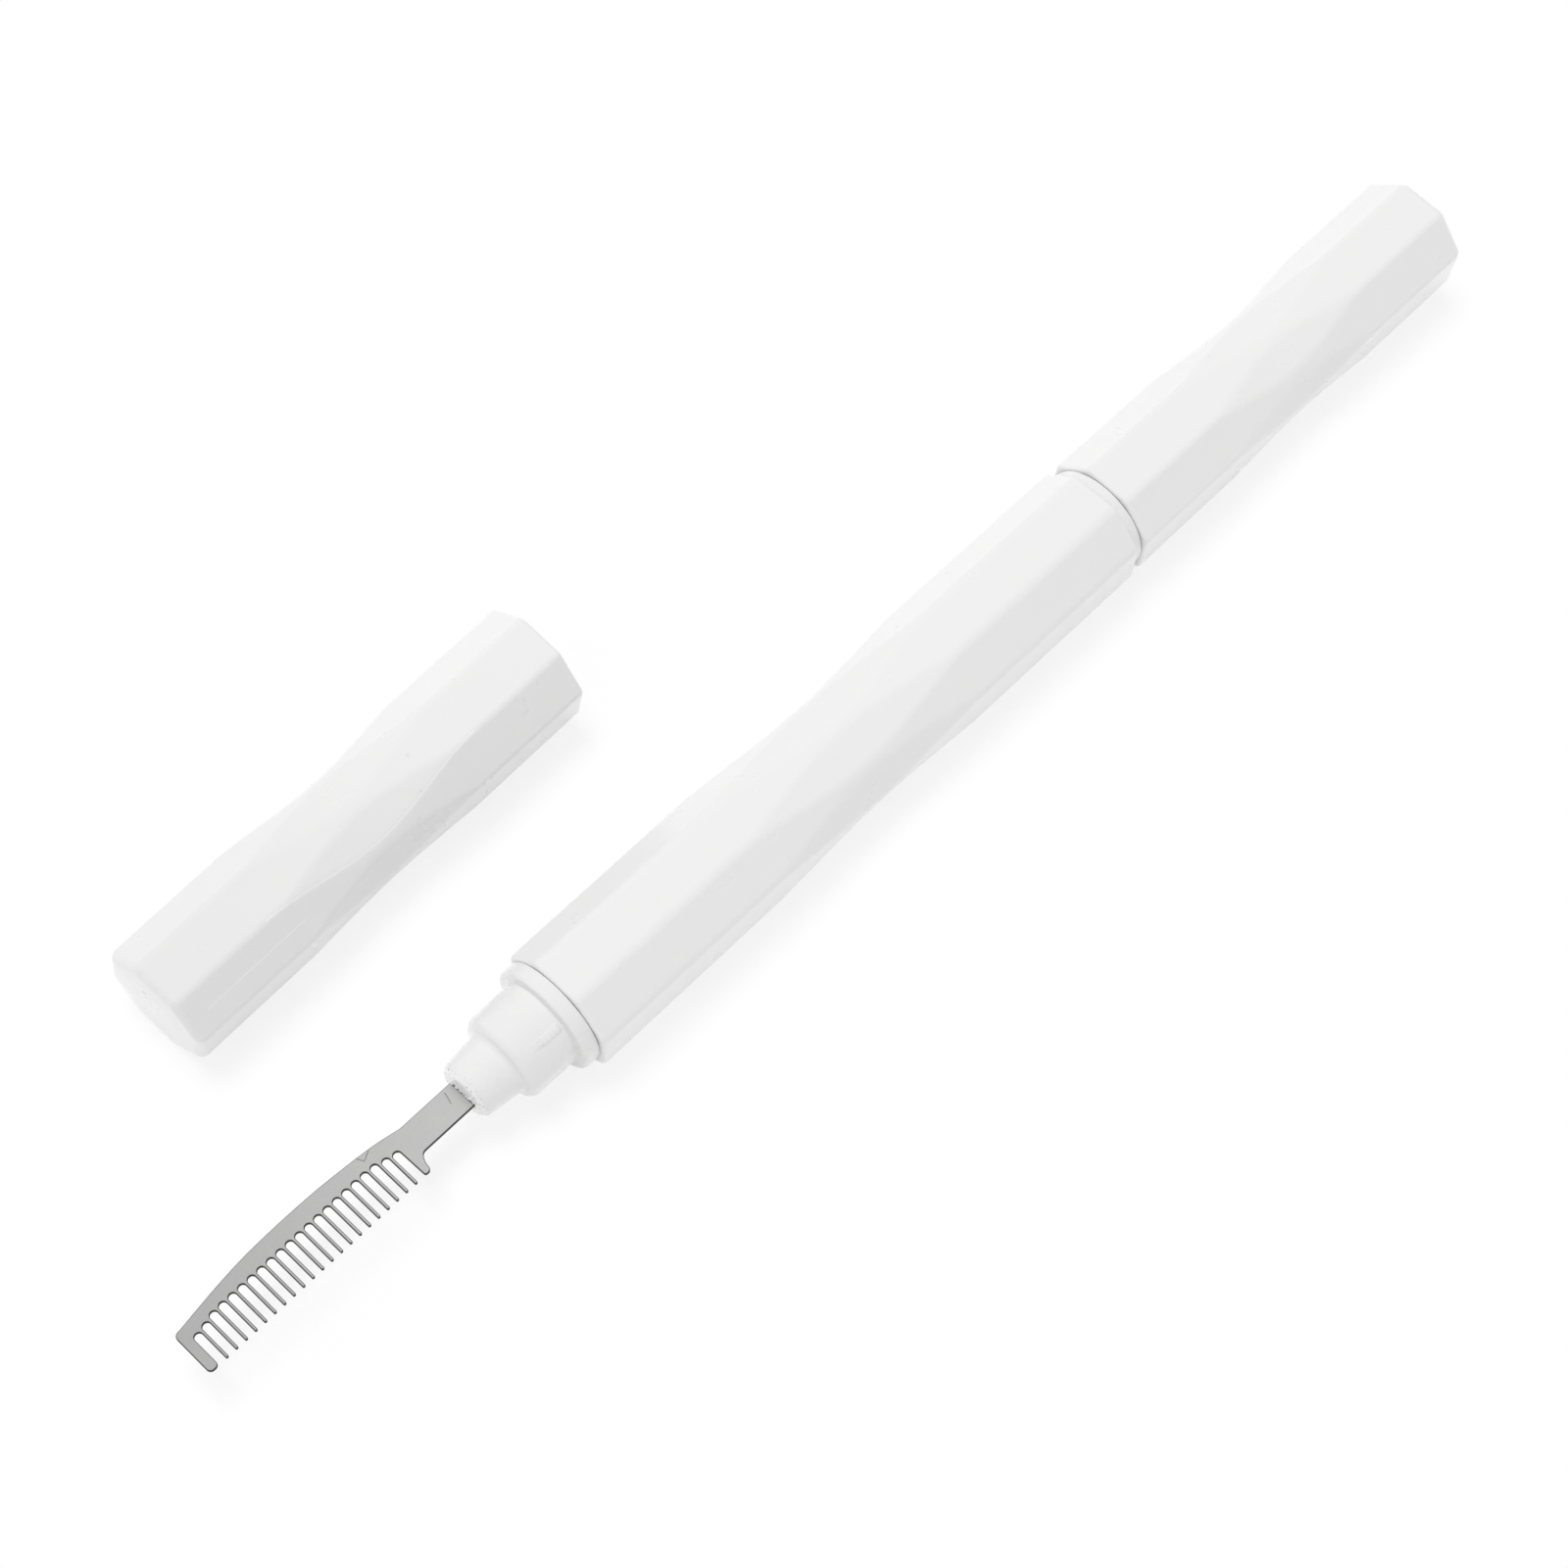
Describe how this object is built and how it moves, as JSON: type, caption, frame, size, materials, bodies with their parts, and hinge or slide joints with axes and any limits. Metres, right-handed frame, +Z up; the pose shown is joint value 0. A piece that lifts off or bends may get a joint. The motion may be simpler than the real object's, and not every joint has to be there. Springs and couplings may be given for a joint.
{
  "type": "eyebrow brush",
  "caption": "Double-ended brow tool: octagonal white pen barrel with a steel comb at one end, a capped round brush at the other, and the comb's cap lying beside it.",
  "frame": {"origin": "bottom centre of the box round the pen and the loose cap together, on the surface they lie on", "axes": "+X along the pen towards the brush end, +Y across from the pen to the loose cap, +Z up from the surface"},
  "size_m": [0.1522, 0.0358, 0.0112],
  "materials": {
    "white_plastic": "satin to glossy moulded plastic",
    "comb_steel": "matt etched sheet steel",
    "stem_wire": "bright drawn wire",
    "brush_nylon": "black nylon filament"
  },
  "bodies": {
    "handle": {"barrel": "white_plastic", "comb_collar": "white_plastic", "comb": "comb_steel", "brush_collar": "white_plastic", "brush_stem": "stem_wire", "brush_head": "brush_nylon"},
    "brush_cap": {"brush_cap": "white_plastic"},
    "comb_cap": {"comb_cap": "white_plastic"}
  },
  "joints": [
    {"name": "brush_cap_slide", "type": "slide", "parent": "handle", "child": "brush_cap", "axis": [1, 0, 0], "range_m": [0, 0.05]},
    {"name": "comb_cap_lift", "type": "slide", "parent": "handle", "child": "comb_cap", "axis": [0, 0, 1], "range_m": [0, 0.06]}
  ]
}
